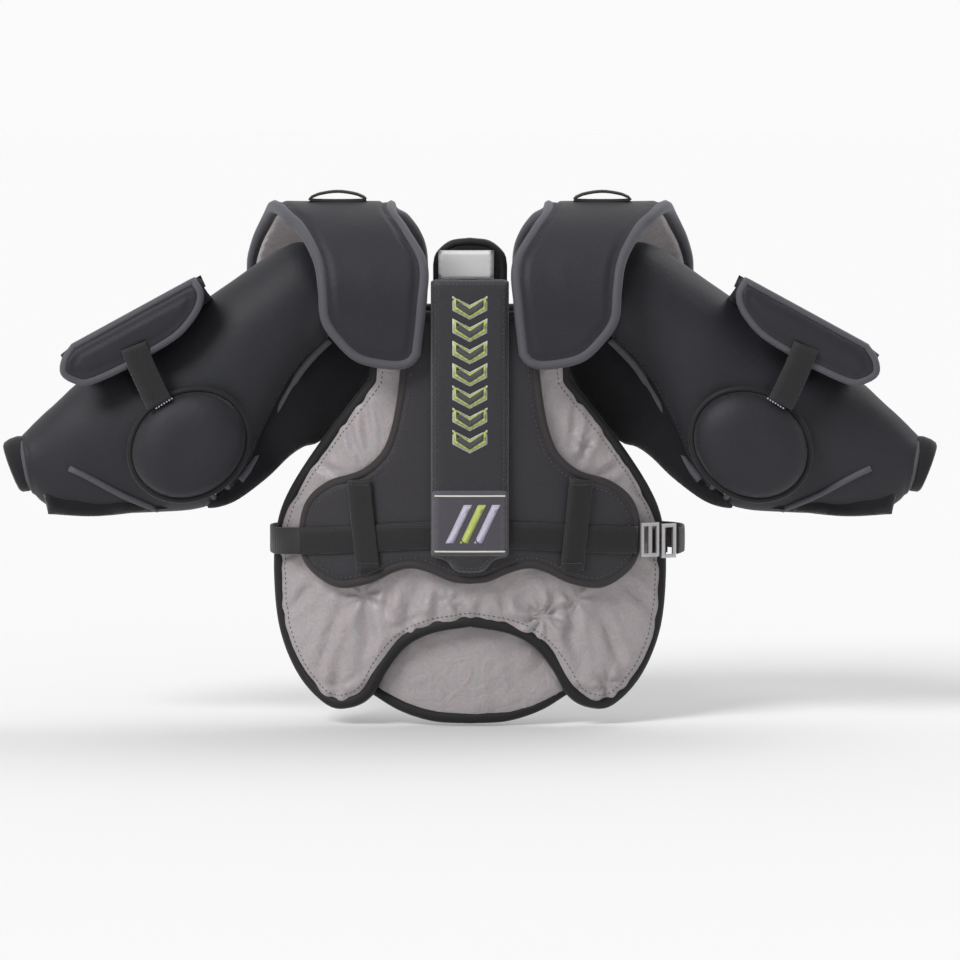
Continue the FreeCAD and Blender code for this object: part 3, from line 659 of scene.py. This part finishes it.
for k in range(CHEVRON_COUNT):
    base_z = -200 + k * CHEVRON_PITCH
    for order, (paint, grow, lift) in enumerate((("thread_white", 1.2, 5.4), ("embroidery", 0.0, 6.1),
                                                 ("thread_dark", -2.4, 6.8))):
        bar = chevron(16 + grow, base_z, 12 + 2 * grow, -grow)
        dress(flat_shape(f"strip_chevron_{k}_{order}", bar, STRIP_R, lift), "sternum", paint,
              stands_for=["sternum_graphic"] if k + order == 0 else ())
patch_box = rounded_box(-37, 37, -303, -238, 3)
dress(pad("patch_cloth", patch_box, torso(STRIP_R + 5.2), 1.2, 1.0, 3, spacing=4.0), "sternum",
      "patch_fabric", stands_for=["front_patch"])
for name, low_z in (("patch_line_top", -244), ("patch_line_low", -299)):
    dress(flat_shape(name, rounded_box(-35, 35, low_z, low_z + 1.6, 0.7), STRIP_R, 6.9), "sternum",
          "thread_white")
PATCH_STROKES = [(-24, -290, -6, -252, "thread_lilac"), (-10, -290, 8, -252, "embroidery"),
                 (4, -290, 22, -252, "thread_lilac")]
for k, (x0, z0, x1, z1, paint) in enumerate(PATCH_STROKES):
    ring = ring_of([[(x0, z0), (x0 + 8, z0)], [(x0 + 8, z0), (x1 + 8, z1)], [(x1 + 8, z1), (x1, z1)],
                    [(x1, z1), (x0, z0)]], step=3.0)
    dress(flat_shape(f"patch_stroke_{k}", ring, STRIP_R, 6.6), "sternum", paint)

# ---------------------------------------------------------------- belt, keepers, buckle straps
belt_line = [(-170, -292), (-110, -288), (-40, -283), (40, -283), (110, -288), (166, -291)]
dress(laid_strap("chest_belt_web", belt_line, torso(BELT_R), 27), "torso", "webbing",
      stands_for=["chest_belt"])
for side, name in ((1, "left"), (-1, "right")):
    keeper = laid_strap("keeper_web_" + name, [(side * 110, -229), (side * 106, -270), (side * 101, -318)],
                        torso(BELT_R + 2.6), 24)
    dress(keeper, "torso", "webbing", stands_for=["belt_keepers"] if side > 0 else ())
    for k, z in enumerate((-234, -312)):
        x = side * (110 if k == 0 else 101)
        row = stitches(f"keeper_tack_{name}_{k}", [(x - 9, z), (x + 9, z)], torso(BELT_R + 4.2), 0.3,
                       closed=False, gap=2.6, long=2.2)
        dress(row, "torso", "thread_dark")
LEFT_RUN = [(206.5, -24, -294), (210.5, -12, -294), (214, 8, -294), (210, 36, -294), (180, 60, -294),
            (140, 70, -294), (88, 73, -294)]
RIGHT_RUN = [(-168, -43, -292), (-184, -31, -293), (-195, -15, -294), (-199, 4, -294), (-197, 26, -294),
             (-176, 54, -294), (-140, 68, -294), (-88, 73, -294)]
HOOK_RUN = [(179, -32.4, -293), (188, -27.8, -293), (196.4, -23.5, -293)]


def on_edge(name, route, wide, thick=2.2):
    """Webbing that stands on edge along a route seen from above."""
    run = smooth(route)
    faces_out = []
    for i in range(len(run)):
        ahead = Vector(run[min(i + 1, len(run) - 1)]) - Vector(run[max(i - 1, 0)])
        faces_out.append(Vector((ahead.y, -ahead.x, 0)))
    return strap(name, run, faces_out, wide, thick)


dress(on_edge("side_strap_left", LEFT_RUN, 26), "torso", "webbing", stands_for=["side_straps"])
dress(on_edge("side_strap_right", RIGHT_RUN, 27), "torso", "webbing")
dress(on_edge("hook_strap", HOOK_RUN, 25, 2.4), "hook", "webbing", stands_for=["belt_hook_end"])

# ---------------------------------------------------------------- back panel and label, seen through the neck
BACK = mirrored([[(0, 3), (20, 0), (34, -12), (37, -24)], [(37, -24), (37, -116)],
                 [(37, -116), (50, -136), (86, -150), (98, -190), (96, -270), (72, -316), (40, -330)],
                 [(40, -330), (0, -330)]])


def upright_back(y):
    def place(u, v):
        return Vector((u, y, v)), Vector((0, 1, 0))
    return place


back_ring = ring_of(BACK)
dress(pad("back_panel_cover", inset(back_ring, 3), upright_back(86), 6, 6, 16, quiet_relief), "back",
      "black_mesh", stands_for=["back_panel"])
dress(piping("back_panel_tape", inset(back_ring, 4), upright_back(86), 4.5, flat=1.2), "back", "body_binding",
      stands_for=["back_panel_binding"])
dress(pad("neck_label_cloth", rounded_box(-32, 24, -38, -9, 1.5), plane_at(79), 0.8, 0.5, 1.5), "back",
      "label_cloth", stands_for=["neck_label"])

# ---------------------------------------------------------------- shoulder caps
CAP_RING = [[(49, -196), (57, -206), (75, -210), (110, -203), (132, -184), (146, -162), (149, -132),
             (154, -103), (172, -63), (186, -40), (199, 0), (208, 47), (220, 86), (226, 116), (222, 146),
             (196, 174), (140, 202), (80, 206), (46, 192)],
            [(46, 192), (44, 103), (60, 55), (73, 34), (74, 0), (73, -34), (60, -66), (42, -107),
             (44, -150), (49, -196)]]
CAP_GUTTER = 9.5


def cap_relief(u, v, distance):
    """A sunk seam that follows the piping."""
    gutter = -2.6 * math.exp(-((distance - CAP_GUTTER) / 2.0) ** 2)
    return gutter + 1.2 * noise.noise(Vector((u / 50, v / 50, 7.0)))


cap_ring = ring_of(CAP_RING)
dress_pair(pad("cap_cover", inset(cap_ring, 3), cap_arch(CAP_R), 7.5, 5.5, 12, cap_relief, spacing=3.5),
           "cap", "black_fabric", stands_for=["shoulder_cap", "shoulder_cap_insert"])
dress_pair(piping("cap_edge", inset(cap_ring, 4.6), cap_arch(CAP_R), 5.3, lift=1.6, flat=1.25), "cap",
           "piping", stands_for=["shoulder_cap_piping"])
dress_pair(stitches("cap_stitches", inset(cap_ring, 10.5), cap_arch(CAP_R + 4.0), 0.4), "cap", "thread_dark")
dress_pair(pad("cap_lining", inset(cap_ring, 9), cap_arch(CAP_R - 6.5), 0.5, 1.2, 4), "cap", "silver_nylon")
YOKE_R = 48
yoke = pad("yoke_pad", rounded_box(62, 102, -122, 122, 12), arch(YOKE_R, YOKE_R, 25, -60), 3.5, 3.5, 8,
           quiet_relief)
yoke_right = mirror_of(yoke, "yoke_pad_right")
dress(yoke, "torso", "black_mesh", stands_for=["shoulder_yokes"])
dress(yoke_right, "torso", "black_mesh")
loop_path = smooth([(104, 0, 45), (112, 0, 50), (132, 0, 53), (152, 0, 50), (160, 0, 45), (150, 0, 44),
                    (132, 0, 43.8), (114, 0, 44)], closed=True)
loop_outs = []
for i, p in enumerate(loop_path):
    a, b = loop_path[i - 1], loop_path[(i + 1) % len(loop_path)]
    run = Vector(b) - Vector(a)
    loop_outs.append(Vector((-run.z, 0, run.x)))
loop = strap("cap_loop_web", [Vector((p[0], 15, p[2])) for p in loop_path + loop_path[:1]],
             loop_outs + loop_outs[:1], 24, 2.4)
dress_pair(loop, "cap", "webbing", stands_for=["cap_webbing_loop"])

# ---------------------------------------------------------------- arms
UPPER_TOP = [(146, -44), (152, -12), (168, 0), (190, -8), (215, -24), (262, -56), (300, -86), (336, -112)]
UPPER_LOW = [(140, -88), (158, -108), (177, -134), (196, -170), (213, -214), (238, -249)]
GUSSET = [[(150, -60), (185, -110), (208, -165), (226, -212), (252, -246)],
          [(252, -246), (262, -262), (236, -256), (203, -232), (181, -211), (166, -201), (150, -196),
           (126, -172), (106, -146), (95, -112), (110, -72), (150, -60)]]
FORE_TOP = [(338, -114), (362, -124), (392, -142), (420, -167), (440, -188), (449, -196)]
FORE_LOW = [(250, -256), (284, -263), (330, -265), (374, -265), (412, -262), (441, -242)]
JOINT_TOP = [(296, -86), (336, -112), (378, -135)]
JOINT_LOW = [(216, -216), (240, -250), (300, -263)]
ARM_AXIS_Y = 10.0
FORE_LONG = 170
SLEEVE_SPREAD = 100     # degrees that the sleeves reach round the arm, from the front
SLEEVE_SCALE = 0.7      # plan millimetres per degree


def arm_relief(u, v, distance):
    gutter = -1.6 * math.exp(-((distance - 8) / 2.0) ** 2)
    return gutter + 1.8 * noise.noise(Vector((u / 42, v / 34, 11.0)))


def gusset_relief(u, v, distance):
    return 2.2 * noise.noise(Vector((u / 26, v / 30, 9.0)))


def wrapped(part, curves, deep, long, back):
    """A padded half sleeve between two curves; its v runs in degrees times a scale."""
    shape = sleeve(*curves, deep, ARM_AXIS_Y, long)

    def place(u, v):
        return shape(u, v / SLEEVE_SCALE)
    half = SLEEVE_SPREAD * SLEEVE_SCALE
    ring = rounded_box(0, long, -half, half, 7, step=3.5)
    dress_pair(pad(part + "_cover", inset(ring, 2), place, 4, back, 10, arm_relief, spacing=3.5), part,
               "black_fabric", stands_for=[part + "_pad", part + "_pad_foam"])
    return place, ring


upper_place, upper_ring = wrapped("upper_arm", (UPPER_TOP, UPPER_LOW), (46, 56), 185, 9)
dress_pair(piping("upper_arm_edge", inset(upper_ring, 2.5), upper_place, 3.6, lift=-1.0), "upper_arm",
           "piping", stands_for=["upper_arm_pad_piping"])
lower_seam = [upper_place(u, -45) for u in range(6, 172, 4)]
dress_pair(tube("upper_arm_seam", [p + n * 6.2 for p, n in lower_seam], 4.2, closed=False,
                out=[n for _, n in lower_seam]), "upper_arm", "piping")
dress_pair(stitches("upper_arm_stitches", [(u, -37) for u in range(6, 172, 4)], upper_place, 4.6,
                    closed=False),
           "upper_arm", "thread_dark")
fore_place, fore_ring = wrapped("forearm", (FORE_TOP, FORE_LOW), (56, 26), FORE_LONG, 6)
dress_pair(piping("forearm_edge", inset(fore_ring, 2.5), fore_place, 3.2, lift=-0.6), "forearm", "piping")


def gusset_lean(u, v):
    """Bulges towards the front between the arm and the body, and runs back behind the body's edge."""
    return -10 * math.exp(-((u - 204) / 36) ** 2) + 0.25 * max(0.0, 175 - u)


dress_pair(pad("armpit_gusset", ring_of(GUSSET), plane_at(-8, gusset_lean), 2.4, 1.5, 10, gusset_relief,
               spacing=3.5), "upper_arm", "black_mesh", stands_for=["arm_gusset"])

ELBOW = (278, -195)
ELBOW_LONG = 62
ELBOW_HIGH = 53
elbow_ring = []
for k in range(84):
    a = 2 * math.pi * k / 84
    d, n = ELBOW_LONG * math.cos(a), ELBOW_HIGH * math.sin(a)
    elbow_ring.append((ELBOW[0] + d * math.cos(ARM_TILT) + n * math.sin(ARM_TILT),
                       ELBOW[1] - d * math.sin(ARM_TILT) + n * math.cos(ARM_TILT)))
dress_pair(pad("elbow_dome", inset(elbow_ring, 3), plane_at(-58), 22, 2, 38, quiet_relief, spacing=3.2),
           "elbow", "black_fabric", stands_for=["elbow_cap", "elbow_cup"])
# A near-black flattened ring round the dome's base paints the shade of the groove where the dome meets the
# arm.
dress_pair(piping("elbow_groove_shade", inset(elbow_ring, 1.0), plane_at(-57), 3.4, flat=0.7), "elbow",
           "body_binding")
FLAP = [[(393, -96), (402, -110), (403, -124), (392, -132), (376, -134), (343, -120), (315, -104), (286, -85),
         (268, -62), (264, -44), (272, -30)], [(272, -30), (393, -96)]]
HINGE_DIR = (0.878, -0.479)


def flap_lean(u, v):
    """The flap turns back over the arm's outer edge along its straight side."""
    down = -((u - 272) * HINGE_DIR[1] - (v + 30) * HINGE_DIR[0])
    near = max(0.0, 1 - abs(down) / 16)
    return 7.0 * near ** 2


flap_ring = ring_of(FLAP)
dress_pair(pad("flap_cover", inset(flap_ring, 2), plane_at(-62.5, flap_lean), 6, 3, 12, cap_relief,
               spacing=3.5),
           "flap", "black_fabric", stands_for=["bicep_flap"])
dress_pair(piping("flap_edge", inset(flap_ring, 2.5), plane_at(-63.5, flap_lean), 4.0), "flap", "piping")
strap_line = [(332, -96), (324, -116), (314, -138), (306, -154)]
dress_pair(laid_strap("flap_strap_web", strap_line, plane_at(-70.5), 26), "flap", "webbing",
           stands_for=["flap_strap"])
bartack = [(294, -148), (302, -153), (310, -158)]
dress_pair(stitches("flap_strap_tack", bartack, plane_at(-72.3), 0.3, closed=False, gap=3.0, long=2.4,
                    wide=0.9),
           "flap", "thread_lilac")
fold_tab = [[(266, -27), (394, -97)], [(394, -97), (405, -106)], [(405, -106), (400, -116)],
            [(400, -116), (272, -48)], [(272, -48), (261, -38)], [(261, -38), (266, -27)]]
dress_pair(pad("flap_fold_tab", ring_of(fold_tab), plane_at(-54), 3, 2, 5), "flap", "black_fabric")


def on_sleeve(place, x, z):
    """Where a front-view point lies on a half sleeve: its (u, v), searched in ever smaller steps."""
    u, v, reach = 85.0, 0.0, 80.0
    while reach > 0.5:
        tries = [(u + i * reach / 4, v + j * reach / 4) for i in range(-4, 5) for j in range(-4, 5)]
        u, v = min((t for t in tries if 0 <= t[0] <= FORE_LONG and abs(t[1]) <= 68),
                   key=lambda t: math.dist((place(*t)[0].x, place(*t)[0].z), (x, z)))
        reach /= 2
    return u, v


SEAM = [(398, -220), (376, -230), (345, -246), (312, -260)]
seam_line = [fore_place(*on_sleeve(fore_place, *p)) for p in smooth(SEAM, step=8)]
dress_pair(tube("forearm_seam", [p + n * 4.5 for p, n in seam_line], 3.2, closed=False,
                out=[n for _, n in seam_line]), "forearm", "piping")
UNDER_FLAP = [[(300, -262), (345, -250), (398, -222)], [(398, -222), (428, -226), (421, -268)],
              [(421, -268), (370, -270), (300, -262)]]
dress_pair(pad("forearm_under_flap", ring_of(UNDER_FLAP), plane_at(-14), 3, 2, 8, gusset_relief), "forearm",
           "black_mesh")

FOLD_LINE = [(266, -34), (398, -106)]
ARM_RIDGE = [(256, -54), (300, -86), (336, -112), (380, -136)]


def fold_back(u, v):
    """From the flap's fold (v 0) back over the arm's outer edge (v 60)."""
    front = along(FOLD_LINE, u / 140)
    ridge = along(smooth(ARM_RIDGE), u / 140)
    k = v / 60
    sag = 5 * math.sin(math.pi * k)
    here = Vector((front[0] + (ridge[0] - front[0]) * k - 0.48 * sag, -55 + 62 * k,
                   front[1] + (ridge[1] - front[1]) * k - 0.88 * sag))
    return here, Vector((0.45, -0.2, 0.87)).normalized()


dress_pair(pad("flap_bridge", rounded_box(0, 140, 0, 60, 6), fold_back, 2, 2, 6, gusset_relief), "upper_arm",
           "black_fabric")

# ---------------------------------------------------------------- elbow knit, cuffs and back straps
joint_shape = sleeve(JOINT_TOP, JOINT_LOW, (47, 46), ARM_AXIS_Y, 90, shrink=9)
knit = pad("elbow_knit", rounded_box(0, 90, -105, 105, 3), joint_shape, 1, 1, 3, gusset_relief)
for piece, side in zip(dress_pair(knit, None, "black_mesh"), ("left", "right")):
    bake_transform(piece)


WRIST = (444, -218)


def cuff_ring(distance, high, deep):
    """Points round the wrist at a distance along the forearm."""
    cx = WRIST[0] + distance * math.cos(FOREARM_TILT)
    cz = WRIST[1] - distance * math.sin(FOREARM_TILT)
    out = []
    for k in range(36):
        a = 2 * math.pi * k / 36
        n = high * math.sin(a)
        out.append(Vector((cx + n * math.sin(FOREARM_TILT), ARM_AXIS_Y - deep * math.cos(a),
                           cz + n * math.cos(FOREARM_TILT))))
    return out


def band(name, stations):
    """A closed fabric ring through stations (distance, half height, half depth)."""
    rings = [cuff_ring(*s) for s in stations]
    count = len(rings[0])
    verts = [v for ring in rings for v in ring]
    faces = []
    for i in range(len(rings)):
        j = (i + 1) % len(rings)
        for k in range(count):
            m = (k + 1) % count
            faces.append((i * count + k, i * count + m, j * count + m, j * count + k))
    return as_object(name, verts, faces)


CUFF_STATIONS = [(-6, 26, 24), (0, 28, 26), (8, 28, 26), (14, 26.5, 24.5), (16, 24, 22), (14, 22, 20),
                 (4, 22, 20), (-6, 22, 20)]
dress_pair(band("cuff_band", CUFF_STATIONS), "forearm", "cuff_fabric", stands_for=["wrist_cuff"])
wrist_band = cuff_ring(9, 29, 27)
half = [p for p in wrist_band if p.y > 20]
centre = sum(half, Vector()) / len(half)
dress_pair(strap("wrist_strap_web", half, [(p - Vector((centre.x, 10, centre.z))) for p in half], 12, 2.0),
           "wrist", "webbing", stands_for=["wrist_strap"])
for name, ends, y, body in (("bicep_strap", [(182, -79), (264, -199)], 23.2, "upper_arm"),
                            ("forearm_strap", [(362, -258), (391, -150)], 23.2, "forearm"),
                            ("shoulder_lace", [(128, -62), (176, -62)], 23.8, "sling")):
    middle = [((ends[0][0] + ends[1][0]) / 2, (ends[0][1] + ends[1][1]) / 2)]
    dress_pair(laid_strap(name + "_web", [ends[0]] + middle + [ends[1]], plane_at(y), 26), body, "webbing",
               stands_for=[name])

# ---------------------------------------------------------------- stage, light and camera
bpy.ops.mesh.primitive_plane_add(size=40, location=(0, 0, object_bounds()[0].z - 0.002))
floor = bpy.context.object
floor.name = "floor"
pale = bpy.data.materials.new("pale_floor")
pale.use_nodes = True
pale.node_tree.nodes["Principled BSDF"].inputs["Base Color"].default_value = (0.76, 0.76, 0.76, 1)
pale.node_tree.nodes["Principled BSDF"].inputs["Roughness"].default_value = 1.0
pale.node_tree.nodes["Principled BSDF"].inputs["Specular IOR Level"].default_value = 0.0
floor.data.materials.append(pale)
world = bpy.data.worlds.new("studio")
world.use_nodes = True
sky = world.node_tree
direction = add(sky, "ShaderNodeTexCoord")
split = add(sky, "ShaderNodeSeparateXYZ")
fall = add(sky, "ShaderNodeMapRange", interpolation_type="SMOOTHSTEP")
fall.inputs["From Min"].default_value = -0.4
fall.inputs["From Max"].default_value = 0.6
fall.inputs["To Min"].default_value = 0.42
fall.inputs["To Max"].default_value = 0.96
sky.links.new(direction.outputs["Generated"], split.inputs["Vector"])
sky.links.new(split.outputs["Y"], fall.inputs["Value"])
sky.links.new(fall.outputs["Result"], sky.nodes["Background"].inputs["Strength"])
sky.nodes["Background"].inputs["Color"].default_value = (1, 1, 1, 1)
bpy.context.scene.world = world
bpy.context.scene.view_settings.view_transform = "Standard"


def soft_sun(name, place, strength, spread):
    """A broad even light from a far place, aimed at the origin."""
    data = bpy.data.lights.new(name, "SUN")
    data.energy = strength
    data.angle = math.radians(spread)
    lamp = bpy.data.objects.new(name, data)
    lamp.location = place
    lamp.rotation_euler = (-Vector(place)).to_track_quat("-Z", "Y").to_euler()
    bpy.context.scene.collection.objects.link(lamp)


soft_sun("key", (-2.0, -2.2, 2.6), 1.9, 25)
soft_sun("rim", (1.6, 1.2, 2.6), 0.8, 40)

VIEW_WIDTH = 0.96
DISTANCE = 6.0
ELEVATION = math.radians(5)
target = Vector((0.010, 0, -0.235))
camera_data = bpy.data.cameras.new("camera")
camera_data.sensor_width = 36
camera_data.lens = 36 * DISTANCE / VIEW_WIDTH
camera = bpy.data.objects.new("camera", camera_data)
camera.location = target + Vector((0, -math.cos(ELEVATION), math.sin(ELEVATION))) * DISTANCE
camera.rotation_euler = (math.pi / 2 - ELEVATION, 0, 0)
bpy.context.scene.collection.objects.link(camera)
bpy.context.scene.camera = camera
